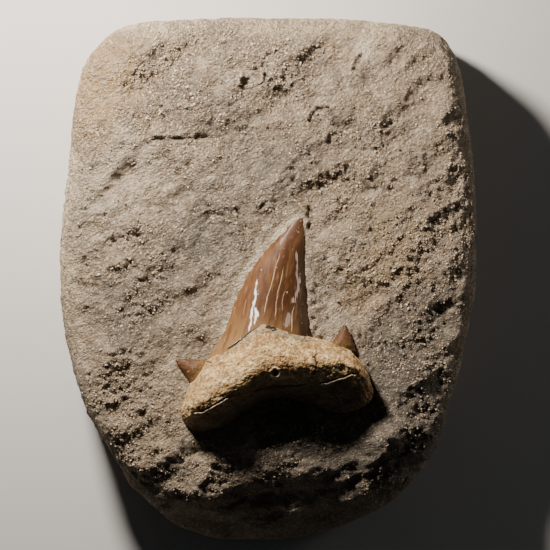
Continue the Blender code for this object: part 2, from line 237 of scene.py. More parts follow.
# All cracks in the bone: depth, half width, and the line from above
ROOT_CRACKS = [
    (0.50, 0.24, [(-13.6, -19.6), (-11.2, -18.7), (-8.6, -17.0), (-6.2, -15.0), (-3.8, -13.0),
                  (-1.9, -11.9)]),
    (0.50, 0.34, [(-0.5, -12.0), (1.2, -12.6), (2.6, -13.2)]),
    (0.35, 0.14, [(-15.8, -20.6), (-14.8, -21.8), (-13.6, -22.3)]),
    (0.35, 0.18, [(12.0, -17.2), (12.5, -19.0), (12.2, -20.8), (12.5, -22.6), (12.0, -24.6)]),
    (0.45, 0.18, LONG_CRACKS[0]),
    (0.35, 0.17, [(-4.6, -29.3), (-1.0, -28.2), (3.6, -27.6), (7.0, -27.6), (10.9, -26.9)]),
    (0.45, 0.16, LONG_CRACKS[1]),
    (0.22, 0.16, [(17.2, -27.6), (17.4, -30.0), (18.4, -32.6)]),
]
ROOT_LIPS = [(1.0, 0.15, [(px, py - LIP_BELOW) for px, py in line]) for line in LONG_CRACKS]
# A pore that fed the growing tooth opens just below the crest
PORE = (1.9, -24.2)
PORE_RADIUS = 0.42
PORE_RIM = 1.25
PORE_DEPTH = 1.5

points, facing = places_of(root)
x, y, z = points.T
exposed = eased((z - FACE + 1.0) / 2.0)
lumps = 0.55 * cloudy(points, 7.0) + 0.55 * cloudy(points, 2.6) + 0.34 * cloudy(points, 1.0)
lumps += 0.20 * cloudy(points, 0.5)
below_neck = side_of(x, y, ROOT_NECK)[0]
growth_lines = 0.05 * np.sin(below_neck * 5.4 + 4.5 * cloudy(points, 4.0)) * eased(1.5 - below_neck / 8.0)
below_crown = eased((x + 9.0) / 3.0) * eased((11.0 - x) / 3.0)
collar = 0.35 * eased(1.0 - np.abs(below_neck - 1.4) / 1.5) * below_crown
points += facing * ((0.40 * lumps + growth_lines + collar) * exposed)[:, None]
wander = 0.7 * cloudy(points, 2.2) + 0.35 * cloudy(points, 0.9) + 0.45 * cloudy(points, 0.5, 7.0)
ragged = 0.7 * cloudy(points, 0.8)
upward = eased(facing[:, 2] * 4.0)
cracks = scored(x, y, ROOT_CRACKS, wander, ragged) * upward
lips = scored(x, y, ROOT_LIPS, 1.5 * wander, 1.9 * ragged) * upward
from_pore = np.hypot(x - PORE[0], y - PORE[1]) + 0.5 * cloudy(points, 0.9)
pore = eased(1.7 - from_pore / PORE_RADIUS) * eased(facing[:, 2] * 3.0)
pore_rim = eased(1.0 - np.abs(from_pore - PORE_RIM) / PORE_RADIUS) * eased(0.8 + cloudy(points, 1.3)) * upward
points[:, 2] += 0.24 * lips + 0.50 * pore_rim - cracks - PORE_DEPTH * pore
points[:, 2] = np.minimum(points[:, 2], cad_box[1][2] / MM - 0.05)
put_back(root, points)
note(root, "cracked", np.maximum(cracks / 0.4, pore))
note(root, "lip", np.maximum(lips, 0.8 * pore_rim))
note(root, "below_neck", below_neck)
# The under side below the crest is kept for a painted shade, darker where the lamp doesn't reach
note(root, "painted_underside_shade", eased(side_of(x, y, ROOT_CREST)[0] / 4.0 - 0.2))
stained = eased((x + 10.0) / 3.0) * eased((12.0 - x) / 3.0)
note(root, "collar", eased(1.0 - np.abs(below_neck - 0.9) / 1.9) * stained)


class Finish:
    """A surface laid on in coats: each coat tints, dulls or roughens what lies under it."""

    def __init__(self, name, colour, roughness):
        self.material = bpy.data.materials.new(name)
        self.material.use_nodes = True
        self.tree = self.material.node_tree
        self.shader = self.tree.nodes["Principled BSDF"]
        self.shader.inputs["Roughness"].default_value = roughness
        self.colour = self.add("ShaderNodeRGB").outputs[0]
        self.colour.default_value = (*colour, 1.0)
        self.height = None
        self.dullness = None
        self.object_places = self.add("ShaderNodeTexCoord").outputs["Object"]

    def add(self, kind, **settings):
        node = self.tree.nodes.new(kind)
        for name, value in settings.items():
            setattr(node, name, value)
        return node

    def feed(self, socket, source):
        if isinstance(source, (int, float)):
            socket.default_value = source
        else:
            self.tree.links.new(source, socket)

    def sum_up(self, operation, first, second, third=0.0):
        """One step of sums on sockets or plain values."""
        node = self.add("ShaderNodeMath", operation=operation)
        for socket, source in zip(node.inputs, (first, second, third)):
            self.feed(socket, source)
        return node.outputs[0]

    def stretched(self, size, stretch, turn):
        """The piece's own places, counted in lumps of a size, drawn out and turned."""
        node = self.add("ShaderNodeMapping", vector_type="TEXTURE")
        node.inputs["Rotation"].default_value = (0.0, 0.0, turn)
        node.inputs["Scale"].default_value = [size * MM * share for share in stretch]
        self.tree.links.new(self.object_places, node.inputs["Vector"])
        return node.outputs[0]

    def clouds(self, size, detail=3.0, stretch=(1.0, 1.0, 1.0), turn=0.0, roughness=0.5):
        """Soft patches about a size in millimetres, from 0 to 1 with 0.5 as the middle."""
        node = self.add("ShaderNodeTexNoise")
        node.inputs["Scale"].default_value = 1.0
        node.inputs["Detail"].default_value = detail
        node.inputs["Roughness"].default_value = roughness
        self.tree.links.new(self.stretched(size, stretch, turn), node.inputs["Vector"])
        return node.outputs["Fac"]

    def cells(self, size):
        """Cells like grains: 0 at a grain's middle, growing towards its edge."""
        node = self.add("ShaderNodeTexVoronoi", feature="F1")
        node.inputs["Scale"].default_value = 1.0
        self.tree.links.new(self.stretched(size, (1.0, 1.0, 1.0), 0.0), node.inputs["Vector"])
        return node.outputs["Distance"]

    def noted(self, name):
        """A value that was kept for each point of the piece."""
        return self.add("ShaderNodeAttribute", attribute_name=name).outputs["Fac"]

    def window(self, source, low, high):
        """Turns low into 0 and high into 1, smoothly."""
        node = self.add("ShaderNodeMapRange", interpolation_type="SMOOTHSTEP")
        self.feed(node.inputs["Value"], source)
        node.inputs["From Min"].default_value = low
        node.inputs["From Max"].default_value = high
        return node.outputs[0]

    def tint(self, colour, mask, strength):
        """Lays a colour over what is there, as thick as the mask says."""
        # The colour sockets of this node are 6 and 7, and 2 on its way out
        node = self.add("ShaderNodeMix", data_type="RGBA")
        self.feed(node.inputs[0], self.sum_up("MULTIPLY", mask, strength))
        self.tree.links.new(self.colour, node.inputs[6])
        node.inputs[7].default_value = (*colour, 1.0)
        self.colour = node.outputs[2]

    def dull(self, roughness, mask):
        """Changes the roughness where the mask is 1."""
        node = self.add("ShaderNodeMix", data_type="FLOAT")
        self.feed(node.inputs[0], mask)
        base = self.shader.inputs["Roughness"].default_value if self.dullness is None else self.dullness
        self.feed(node.inputs[2], base)
        node.inputs[3].default_value = roughness
        self.dullness = node.outputs[0]

    def emboss(self, source, height):
        """Raises the surface by a height in millimetres where the source is 1."""
        raised = self.sum_up("MULTIPLY", source, height)
        self.height = raised if self.height is None else self.sum_up("ADD", self.height, raised)

    def lay_on(self, piece):
        """Joins the coats to the shader and gives the material to the piece."""
        self.tree.links.new(self.colour, self.shader.inputs["Base Color"])
        if self.dullness is not None:
            self.tree.links.new(self.dullness, self.shader.inputs["Roughness"])
        if self.height is not None:
            bump = self.add("ShaderNodeBump")
            bump.inputs["Distance"].default_value = MM
            self.tree.links.new(self.height, bump.inputs["Height"])
            self.tree.links.new(bump.outputs[0], self.shader.inputs["Normal"])
        piece.data.materials.clear()
        piece.data.materials.append(self.material)


bone = Finish("root_bone", (0.41, 0.242, 0.080), 0.66)
pale = bone.window(bone.clouds(3.4, 5.0, (1.3, 0.8, 1.0), roughness=0.6), 0.47, 0.62)
bone.tint((0.80, 0.55, 0.265), pale, 0.85)
stain = bone.window(bone.clouds(4.6, 6.0, (1.2, 0.9, 1.0), roughness=0.62), 0.49, 0.60)
bone.tint((0.30, 0.140, 0.030), stain, 0.85)
layered = bone.sum_up("MULTIPLY_ADD", bone.clouds(3.0, 4.0), 26.0,
                             bone.sum_up("MULTIPLY", bone.noted("below_neck"), 5.4))
growth = bone.window(bone.sum_up("SINE", layered, 0.0), 0.3, 0.95)
bone.tint((0.84, 0.64, 0.36), growth, 0.32)
dusky = bone.window(bone.clouds(2.0, 4.0, (1.3, 0.9, 1.0), roughness=0.6), 0.52, 0.66)
bone.tint((0.17, 0.096, 0.036), dusky, 0.85)
streaked = bone.window(bone.clouds(1.3, 4.0, (1.8, 0.8, 1.0), roughness=0.6), 0.53, 0.63)
bone.tint((0.19, 0.105, 0.040), streaked, 0.55)
bone.tint((0.27, 0.205, 0.120), bone.noted("collar"), 0.85)
mottle = bone.window(bone.clouds(0.8, 4.0, roughness=0.6), 0.54, 0.64)
bone.tint((0.15, 0.085, 0.035), mottle, 0.45)
light_fleck = bone.window(bone.clouds(0.6, 3.0, (1.3, 0.9, 1.0)), 0.58, 0.68)
bone.tint((0.93, 0.76, 0.50), light_fleck, 0.45)
speck = bone.window(bone.clouds(0.6, 2.0), 0.62, 0.68)
bone.tint((0.05, 0.028, 0.014), speck, 0.85)
# Painted shade: the steep under side below the crest is darkened as if it lay in the lamp's shadow
bone.tint((0.085, 0.056, 0.032), bone.noted("painted_underside_shade"), 0.7)
# Painted highlight: the crack lips and the pore's rim are painted pale, as if lit by the lamp
bone.tint((0.80, 0.66, 0.48), bone.noted("lip"), 0.65)
# Painted shade: the cracks and the pore are painted near black, as the shade inside their openings
bone.tint((0.020, 0.013, 0.009), bone.noted("cracked"), 0.92)
bone.emboss(bone.clouds(1.6, 4.0), 0.9)
bone.emboss(bone.clouds(0.5, 4.0), 0.40)
bone.lay_on(root)
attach(root, "root")
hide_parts("shark_tooth")


# Crown of the tooth
# The crown is the blade that the shark bit with: glossy enamel over a solid core, full on this side,
# thinning to two cutting edges and curving over to its tip. It grew out of the root at the neck.

# Height of the cutting edges, and how far the blade stands out above and below them
EDGE = 29.6
CROWN_RISE = 8.2
CROWN_UNDER = 2.6
TIP_RISE = 0.25
# Share of a ring on the full side, and how many places each cutting edge is split into
FULL_SIDE = 0.75
EDGE_STEPS = 200
CROWN_LEFT = [(-17.0, -24.0), (-15.6, -20.0), (-13.1, -16.6), (-10.5, -10.8), (-8.3, -4.0), (-4.9, 2.5),
              (0.4, 8.9), (5.8, 14.7), (8.6, 16.9)]
CROWN_RIGHT = [(12.6, -21.0), (11.8, -17.0), (11.5, -12.0), (10.9, -7.5), (10.3, -1.5), (9.9, 4.6),
               (9.8, 9.0), (9.7, 13.0), (9.5, 16.6)]


def smooth_run(knots, count, closed=False):
    """Evenly spaced places on a smooth curve through the knots."""
    knots = [Vector(knot) for knot in knots]
    if closed:
        knots = [knots[-1]] + knots + knots[:2]
    else:
        knots = [2 * knots[0] - knots[1]] + knots + [2 * knots[-1] - knots[-2]]
    fine = []
    for before, start, end, after in zip(knots, knots[1:], knots[2:], knots[3:]):
        for step in range(12):
            u = step / 12
            fine.append(0.5 * (2 * start + (end - before) * u
                               + (2 * before - 5 * start + 4 * end - after) * u ** 2
                               + (3 * start - before - 3 * end + after) * u ** 3))
    fine.append(knots[-2])
    run = np.cumsum([0.0] + [(b - a).length for a, b in zip(fine, fine[1:])])
    wanted = np.linspace(0.0, run[-1], count, endpoint=not closed)
    return np.stack([np.interp(wanted, run, [place[axis] for place in fine]) for axis in (0, 1)], axis=1)


left_edge = smooth_run(CROWN_LEFT, EDGE_STEPS + 1)
right_edge = smooth_run(CROWN_RIGHT, EDGE_STEPS + 1)


def crown_section(run, turn):
    """Points of the crown: a lens between the two cutting edges, most of them on the full side."""
    step = run * EDGE_STEPS
    left = np.array([np.interp(step, range(EDGE_STEPS + 1), left_edge[:, axis]) for axis in (0, 1)])
    right = np.array([np.interp(step, range(EDGE_STEPS + 1), right_edge[:, axis]) for axis in (0, 1)])
    thickness = 1.0 - min(run, 1.0)
    if turn < FULL_SIDE:
        across = math.cos(math.pi * turn / FULL_SIDE)
        height = CROWN_RISE * thickness + TIP_RISE
    else:
        across = -math.cos(math.pi * (turn - FULL_SIDE) / (1.0 - FULL_SIDE))
        height = -CROWN_UNDER * thickness - TIP_RISE
    middle, half = (left + right) / 2, (right - left) / 2
    x, y = middle + half * across
    return x, y, EDGE + height * (1.0 - across * across) ** 0.8


crown = ringed_tube("tooth_crown", 44, 30, crown_section, 3)

# Long cracks in the enamel: depth, half width, and the line from above
CROWN_CRACKS = [
    (0.14, 0.10, [(3.4, 7.8), (2.7, 5.4), (1.8, 2.6), (1.3, 0.2), (0.5, -2.3), (-0.2, -4.6), (-0.6, -6.5),
                  (-1.2, -10.1)]),
    (0.12, 0.09, [(4.2, 3.4), (3.3, 0.4), (2.9, -2.1), (2.3, -4.4), (2.1, -6.0), (1.8, -10.9)]),
    (0.10, 0.08, [(4.4, -2.9), (3.8, -4.6), (3.6, -6.0), (3.5, -8.6)]),
    (0.14, 0.12, [(6.8, -6.5), (6.3, -8.2), (6.0, -9.9), (5.9, -14.0)]),
    (0.06, 0.08, [(-5.5, -4.9), (-6.1, -7.6), (-6.5, -9.9)]),
]
# Flaked spots in the enamel, wider and ragged: a dull set at the right, and at the left a set of shallow sunk
# streaks painted near white, a painted highlight for the glints on the glossy enamel
CROWN_CHIPS = [
    (0.13, 0.26, [(7.3, 7.3), (7.4, 4.6), (7.5, 2.1), (7.9, -0.4), (7.8, -2.3)]),
    (0.13, 0.42, [(7.8, -1.3), (7.4, -3.4), (6.9, -4.9), (6.0, -6.4)]),
    (0.10, 0.60, [(5.6, -8.6), (5.2, -10.8), (4.6, -12.4)]),
]
GLINT_STREAKS = [
    (0.14, 0.24, [(-2.9, -0.2), (-3.1, -1.8), (-3.1, -3.2), (-3.4, -5.2), (-3.8, -7.2)]),
    (0.15, 0.34, [(-3.0, -1.4), (-3.2, -2.8), (-3.2, -4.4)]),
    (0.15, 0.30, [(-3.2, -7.0), (-3.1, -9.2), (-3.5, -11.8)]),
    (0.14, 0.20, [(-3.9, -6.8), (-4.3, -9.8), (-4.9, -13.4)]),
]

points, facing = places_of(crown)
x, y, z = points.T
exposed = eased((z - EDGE) / 0.8)
swaying = points * np.array([1.0, 0.08, 1.0])
ripples = 0.10 * cloudy(swaying, 3.0) + 0.035 * cloudy(swaying, 0.9) + 0.16 * cloudy(points, 8.0)
points += facing * (ripples * exposed)[:, None]
crown_wander = 0.22 * cloudy(points, 2.5) + 0.08 * cloudy(points, 0.8)
flaky = 1.9 * cloudy(swaying, 0.42) + 0.9 * cloudy(points * np.array([1.0, 0.35, 1.0]), 0.5)
cracks = scored(x, y, CROWN_CRACKS, crown_wander) * exposed
chips = scored(x, y, CROWN_CHIPS, crown_wander, flaky) * exposed
glint_streaks = scored(x, y, GLINT_STREAKS, crown_wander, flaky) * exposed
points[:, 2] -= cracks + 0.7 * chips + 0.5 * glint_streaks
put_back(crown, points)
note(crown, "cracked", cracks / 0.12)
note(crown, "chipped", chips / 0.13)
note(crown, "painted_glint", glint_streaks / 0.14)
left_gap = np.abs(side_of(x, y, [tuple(place) for place in left_edge[::8]])[0])
right_gap = np.abs(side_of(x, y, [tuple(place) for place in right_edge[::8]])[0])
note(crown, "across", left_gap / (left_gap + right_gap))
note(crown, "along", (y + 20.0) / 37.0)

# The layers of the enamel run up the blade, which leans a little to the right
blade_lean = math.radians(-10)
enamel = Finish("crown_enamel", (0.074, 0.029, 0.0122), 0.48)
enamel.tint((0.160, 0.070, 0.029), enamel.window(enamel.noted("across"), 0.58, 0.12), 0.9)
enamel.tint((0.255, 0.142, 0.058), enamel.window(enamel.noted("along"), 0.40, 0.08), 0.88)
enamel.tint((0.080, 0.050, 0.030), enamel.window(enamel.noted("across"), 0.74, 0.92), 0.85)
enamel.tint((0.092, 0.042, 0.023), enamel.window(enamel.noted("along"), 0.66, 0.94), 0.8)
streak = enamel.window(enamel.clouds(1.5, 4.0, (1.0, 12.0, 1.0), blade_lean), 0.44, 0.64)
enamel.tint((0.060, 0.021, 0.008), streak, 0.5)
light_streak = enamel.window(enamel.clouds(0.7, 3.0, (1.0, 18.0, 1.0), blade_lean), 0.56, 0.70)
enamel.tint((0.30, 0.175, 0.080), light_streak, 0.40)
glow = enamel.window(enamel.clouds(4.0, 2.0, (0.5, 1.6, 1.0), blade_lean), 0.52, 0.66)
enamel.tint((0.21, 0.105, 0.038), glow, 0.35)
enamel.tint((0.56, 0.40, 0.25), enamel.noted("cracked"), 0.75)
enamel.tint((0.44, 0.34, 0.29), enamel.noted("chipped"), 0.8)
# Painted highlight: the glint streaks are painted near white, as if the lamp shone off the enamel there
enamel.tint((0.98, 0.93, 0.86), enamel.noted("painted_glint"), 0.97)
enamel.tint((0.60, 0.48, 0.35), enamel.window(enamel.clouds(0.9, 1.0), 0.735, 0.77), 0.7)
enamel.dull(0.5, enamel.noted("chipped"))
enamel.emboss(enamel.clouds(0.45, 3.0, (1.0, 14.0, 1.0), blade_lean), 0.035)
enamel.emboss(enamel.clouds(0.8, 3.0), 0.04)
enamel.shader.inputs["Specular IOR Level"].default_value = 0.10
enamel.shader.inputs["Coat Weight"].default_value = 0.025
enamel.shader.inputs["Coat Roughness"].default_value = 0.12
enamel.lay_on(crown)
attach(crown, "root")
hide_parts("shark_tooth")


# Side cusplets
# A small pointed blade stands on each shoulder of the root, of the same enamel as the crown.
# They are flattened as the crown is, and the left one leans well outwards.

# Name: foot and tip from above, half width, half thickness
CUSPLETS = {
    "cusplet_right": ((19.1, -18.8), (20.1, -11.9), 4.0, 3.1),
    "cusplet_left": ((-16.4, -25.0), (-24.0, -20.9), 4.5, 2.7),
}
CUSPLET_LEVEL = 30.7

for name, (foot, tip, half_width, half_thickness) in CUSPLETS.items():
    foot, tip = Vector(foot), Vector(tip)
    forward = (tip - foot).normalized()
    across = Vector((forward.y, -forward.x))

    def cusplet_section(run, turn):
        narrow = (1.0 - min(run, 1.0)) ** 0.92 + 0.03
        place = foot + (tip - foot) * run + across * (half_width * narrow * math.cos(turn * 2 * math.pi))
        thickness = half_thickness * narrow * (0.45 + 0.55 * float(eased(run / 0.4)))
        bulge = math.sin(turn * 2 * math.pi)
        return place.x, place.y, CUSPLET_LEVEL + thickness * bulge * abs(bulge) ** 0.5

    cusplet = ringed_tube(name, 20, 9, cusplet_section, 3)
    points, facing = places_of(cusplet)
    points += facing * (0.14 * cloudy(points, 1.6) + 0.05 * cloudy(points, 0.6))[:, None]
    put_back(cusplet, points)
    reach = (points[:, :2] - np.array(foot)) @ np.array(forward)
    note(cusplet, "along", reach / (tip - foot).length)
    horn = Finish(name + "_enamel", (0.105, 0.047, 0.018), 0.46)
    horn.tint((0.080, 0.031, 0.013), horn.window(horn.noted("along"), 0.58, 0.90), 0.85)
    horn.tint((0.19, 0.112, 0.046), horn.window(horn.noted("along"), 0.50, 0.20), 0.9)
    horn.tint((0.09, 0.038, 0.015), horn.window(horn.clouds(1.0, 4.0), 0.50, 0.64), 0.65)
    horn.tint((0.52, 0.40, 0.26), horn.window(horn.clouds(0.6, 3.0), 0.64, 0.72), 0.6)
    horn.emboss(horn.clouds(0.6, 3.0), 0.14)
    horn.shader.inputs["Specular IOR Level"].default_value = 0.15
    horn.lay_on(cusplet)
    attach(cusplet, "root")
    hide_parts("shark_tooth")


# Matrix slab
# The slab is cemented phosphate sand that settled around the tooth on the sea floor. It was broken out,
# sawn flat at the back, ground round at the rim and picked away by hand from the side that shows.

SLAB_OUTLINE = [
    (54.3, 1.0), (54.3, 20.8), (51.8, 44.5), (50.0, 55.0), (47.6, 60.6), (44.6, 63.9), (40.5, 65.7),
    (32.0, 66.9), (11.7, 67.9), (-12.0, 68.4), (-33.8, 66.7), (-43.4, 61.4), (-49.1, 50.4),
    (-53.0, 25.0), (-54.3, 1.0), (-52.3, -17.9), (-45.8, -37.4), (-32.5, -57.5), (-19.0, -66.3),
    (0.0, -68.6), (21.3, -64.0), (35.6, -55.4), (46.3, -38.0), (53.3, -8.3),
]
OUTLINE_SHARE = 0.997
RIM_ROLL = 7.0
# The slab is made with some spare stone below, which is then cut off for the sawn back
SPARE_BELOW = 3.0
SKIN_CELL = 0.46
WALL_LEAN = 0.05
WALL_THINNING = 0.38
# The layers of the sand run from lower left to upper right
BED_ANGLE = math.radians(34)

# Pits: x, y, half width, half height, depth
PITS = [
    (39.5, 55.4, 3.2, 2.4, 1.8), (47.8, 40.3, 1.8, 1.8, 2.0), (43.9, 32.2, 2.4, 1.9, 1.4),
    (48.6, 25.0, 1.8, 3.2, 1.6), (44.7, 12.2, 2.4, 4.0, 1.3), (42.1, -1.0, 3.4, 2.0, 1.4),
    (46.3, -9.4, 4.2, 3.8, 1.2), (34.3, -13.3, 4.4, 1.8, 1.3), (43.9, -26.3, 2.2, 3.2, 1.7),
    (40.8, -35.4, 2.6, 2.0, 1.4), (38.2, -41.1, 3.0, 2.2, 1.7), (-48.6, 27.6, 1.5, 1.5, 1.4),
    (-42.6, 39.5, 2.8, 1.8, 0.9), (-29.4, 8.8, 5.0, 4.0, 1.0), (-37.7, -34.3, 3.0, 2.6, 1.3),
    (-33.3, -37.4, 2.8, 2.4, 1.1), (-32.8, 48.6, 4.6, 3.4, 0.9), (10.8, 43.2, 4.4, 3.6, 0.6),
    (25.5, 59.0, 3.4, 4.2, 0.8), (25.2, -1.5, 1.6, 0.8, 0.8), (28.0, -0.9, 1.0, 0.7, 0.7),
]
PIT_SHARE = 0.42
# Broken layer edges with the low side on the right: depth, reach, points
LEDGES = [
    (1.0, 9.0, [(-31.7, -8.3), (-26.0, -7.4), (-20.8, -5.5)]),
    (1.2, 9.0, [(-45.8, -20.5), (-39.0, -17.2), (-31.7, -17.4)]),
    (1.0, 9.0, [(-41.6, 16.6), (-34.0, 20.9), (-26.8, 23.7)]),
    (1.0, 9.0, [(-20.3, 13.5), (-13.0, 17.4), (-6.0, 20.5)]),
    (0.5, 3.0, [(-29.6, 36.7), (-21.6, 36.7), (-10.7, 37.7)]),
    (0.5, 3.0, [(-8.3, 43.9), (-7.3, 40.0), (-7.8, 36.1), (-6.5, 33.0)]),
]
LEDGE_SPREAD = 4.6
LEDGE_SHARE = 0.55
# The lower end comes down in broken steps: drop, points
STEPS = [
    (0.8, [(-46.0, -46.0), (-38.0, -50.0), (-30.7, -52.7), (-23.7, -55.4), (-15.6, -56.9), (-6.5, -54.9),
           (4.4, -51.0), (15.3, -49.9), (26.5, -47.6), (40.0, -42.0)]),
    (1.2, [(-34.0, -56.5), (-17.7, -58.9), (-10.7, -58.2), (-1.6, -55.9), (8.3, -54.3), (21.3, -51.7),
           (38.0, -47.0)]),
    (1.6, [(-28.0, -61.0), (-12.5, -62.4), (-2.6, -61.1), (8.3, -61.6), (15.1, -59.5), (26.5, -56.9),
           (38.0, -50.0)]),
]
STEP_RISER = 2.4
# Below this y the face also falls away to the lower end, by this much times the square of the distance
END_FALL_FROM = -36.0
END_FALL = 0.0115
# Broad swells of the face: size, height
SWELLS = [(34.0, 1.3), (15.0, 3.2), (7.0, 1.2)]
# Cracks and the sunk edges of shell prints: depth, half width, points
SLAB_CRACKS = [
    (1.0, 0.36, [(-30.0, 36.2), (-26.6, 36.1), (-24.0, 36.3), (-20.0, 36.4)]),
    (0.9, 0.24, [(-27.0, 36.2), (-22.0, 36.4), (-18.0, 36.8), (-14.0, 36.6), (-10.0, 37.6)]),
    (1.3, 0.45, [(10.1, 19.0), (11.0, 17.4), (10.2, 16.4), (11.3, 15.0), (10.6, 13.8), (11.4, 12.4)]),
    (1.2, 0.50, [(10.6, 40.0), (11.2, 42.0), (12.8, 43.9), (14.8, 44.4), (16.8, 43.4)]),
    (0.3, 0.35, [(22.4, 53.4), (22.6, 55.4), (23.6, 57.2)]),
]
# The raised edges of shell prints: height, half width, points
SLAB_RIDGES = [
    (1.0, 0.50, [(-7.6, 49.8), (-7.2, 51.6), (-6.8, 54.2)]),
    (1.1, 0.50, [(-2.2, 50.4), (-1.7, 52.4), (-1.1, 54.4)]),
    (0.3, 0.45, [(9.6, 40.4), (10.2, 42.8), (12.2, 45.0), (14.8, 45.5), (17.4, 44.4)]),
    (0.6, 0.50, [(21.2, 52.0), (21.4, 55.0), (22.4, 57.4), (24.6, 59.2)]),
]
# Where the sand crumbles more (or, below zero, was rubbed smooth): x, y, radius, change
CRUMBLE_SPOTS = [
    (-29.4, 8.8, 7.0, 0.7), (-31.0, 48.0, 10.0, 0.5), (44.0, 10.0, 12.0, 0.5), (43.0, -22.0, 14.0, 0.6),
    (30.0, -8.0, 14.0, 0.4), (-10.0, 56.0, 18.0, 0.4), (-35.0, -36.0, 13.0, 0.4), (0.0, -52.0, 22.0, -0.3),
    (30.0, 30.0, 18.0, 0.3), (31.0, -27.0, 7.0, -0.9), (-36.0, 26.0, 9.0, -0.35), (-40.0, -8.0, 7.0, -0.3),
    (-47.0, 54.0, 12.0, -0.4), (-15.0, -7.0, 6.0, -0.45), (25.0, 57.0, 6.0, -0.5), (52.0, -28.0, 9.0, -0.6),
]
# Paler places: x, y, radius, strength
PALE_SPOTS = [
    (-51.0, 20.0, 8.0, 0.9), (-40.0, 26.0, 11.0, 0.75), (16.0, -12.5, 4.5, 0.8), (14.0, -4.0, 4.0, 0.5),
    (25.0, 59.0, 3.0, 0.8), (-36.0, 33.0, 7.0, 0.3), (44.0, -16.0, 5.0, 0.3), (-7.0, 2.0, 4.0, 0.4),
]
# Warm stains in the stone: x, y, radius, strength
WARM_SPOTS = [
    (-47.0, 54.0, 12.0, 1.7), (-48.0, 40.0, 8.0, 1.2), (30.0, -1.0, 10.0, 0.6), (13.0, 24.0, 7.0, 0.5),
    (33.0, 14.0, 8.0, 0.4), (-12.0, 40.0, 6.0, 0.3), (-30.0, -40.0, 8.0, 0.4), (20.0, 62.0, 6.0, 0.3),
]
# Greyer and darker places: x, y, radius, strength. The spots below the root and beside its right end stand
# partly for the root's shadow there, a painted shade; the others are greyer stone
GREY_SPOTS = [
    (32.0, -25.0, 8.0, 1.0), (34.0, -40.0, 14.0, 1.0), (-8.0, 42.0, 6.0, 0.4), (-14.0, 8.0, 7.0, 0.4),
    (-6.0, 30.0, 6.0, 0.3), (24.0, -48.0, 12.0, 0.5), (5.0, 28.0, 10.0, 0.6), (-24.0, 5.0, 10.0, 0.5),
    (-14.0, 17.0, 11.0, 0.5), (-18.0, 44.0, 8.0, 0.4), (20.0, 38.0, 9.0, 0.3), (39.0, -12.0, 8.0, 0.5),
    (-36.0, -10.0, 9.0, 0.7), (35.0, -16.0, 9.0, 0.6), (37.0, -8.0, 7.0, 0.4), (47.0, -8.0, 7.0, 0.6),
    (8.0, -41.0, 9.0, 0.8), (24.0, -41.0, 9.0, 0.8), (37.0, -29.0, 8.0, 0.6),
]


def within(x, y, line):
    """True for the places that lie inside a closed line."""
    inside = np.zeros(x.shape, dtype=bool)
    for (ax, ay), (bx, by) in zip(line, line[1:] + line[:1]):
        if ay == by:
            continue
        crosses = ((ay > y) != (by > y)) & (x < ax + (y - ay) * (bx - ax) / (by - ay))
        inside ^= crosses
    return inside


def spotted(x, y, spots):
    """The sum of round soft spots."""
    total = np.zeros(x.shape)
    for px, py, radius, strength in spots:
        total += strength * eased(1.5 - np.hypot(x - px, y - py) / radius)
    return total


outline = smooth_run(SLAB_OUTLINE, 220, closed=True) * OUTLINE_SHARE
bpy.ops.object.select_all(action="DESELECT")
bpy.ops.mesh.primitive_circle_add(vertices=len(outline), fill_type="NGON")
slab = bpy.context.object
slab.name = "matrix_slab"
for vertex, (px, py) in zip(slab.data.vertices, outline):
    vertex.co = Vector((px, py, -SPARE_BELOW)) * MM
bpy.ops.object.mode_set(mode="EDIT")
bpy.ops.mesh.select_all(action="SELECT")
bpy.ops.mesh.extrude_region_move(TRANSFORM_OT_translate={"value": (0.0, 0.0, (FACE + SPARE_BELOW) * MM)})
bpy.ops.mesh.bevel(offset=RIM_ROLL * MM, segments=8, affect="EDGES")
bpy.ops.mesh.select_all(action="SELECT")
bpy.ops.mesh.normals_make_consistent(inside=False)
bpy.ops.object.mode_set(mode="OBJECT")
skin = slab.modifiers.new("skin", "REMESH")
skin.mode = "VOXEL"
skin.voxel_size = SKIN_CELL * MM
apply_modifiers(slab)
bpy.ops.object.mode_set(mode="EDIT")
bpy.ops.mesh.select_all(action="SELECT")
bpy.ops.mesh.bisect(plane_co=(0, 0, 0), plane_no=(0, 0, -1), clear_outer=True, use_fill=True)
bpy.ops.mesh.select_mode(type="FACE")
bpy.ops.mesh.select_all(action="DESELECT")
bpy.ops.object.mode_set(mode="OBJECT")
# The plain walls need fewer faces than the top
for face in slab.data.polygons:
    face.select = 0.1 * MM < face.center.z < (FACE - RIM_ROLL - 1.0) * MM
bpy.ops.object.mode_set(mode="EDIT")
bpy.ops.mesh.decimate(ratio=WALL_THINNING)
bpy.ops.object.mode_set(mode="OBJECT")

points, facing = places_of(slab)
x, y, z = points.T.copy()

# The top is what lies this close to the face, and round the tooth it was cleaned smooth this far out
TOP_BAND = 2.0
CLEANED_REACH = 5.0
# The tooth's own outline from above: up the crown's left edge, down its right one, and round the root
RIGHT_SHOULDER = [(14.5, -16.0), (17.0, -15.8), (19.8, -12.0), (22.0, -17.6), (24.6, -21.6), (27.0, -28.0)]
LEFT_SHOULDER = [(-22.0, -30.0), (-21.0, -25.8), (-23.3, -20.8), (-17.0, -21.2)]
tooth_line = [tuple(place) for place in left_edge[30::10]]
tooth_line += [tuple(place) for place in right_edge[:30:-10]]
tooth_line += RIGHT_SHOULDER + ROOT_BASE[::-1] + LEFT_SHOULDER
from_tooth = np.abs(side_of(x, y, tooth_line + tooth_line[:1])[0])
under_tooth = within(x, y, tooth_line)
on_top = z > FACE - TOP_BAND
beside_tooth = np.where(under_tooth, 1.0, eased(1.15 - from_tooth / CLEANED_REACH)) * on_top

up = eased((z - FACE) / RIM_ROLL + 1.0)
share = np.clip((z - 2.0) / (FACE - 2.0), 0.0, 1.0)
rough = sum(size * cloudy(points, wavelength) for wavelength, size in SWELLS)
flat_places = points * np.array([1.0, 1.0, 0.0])

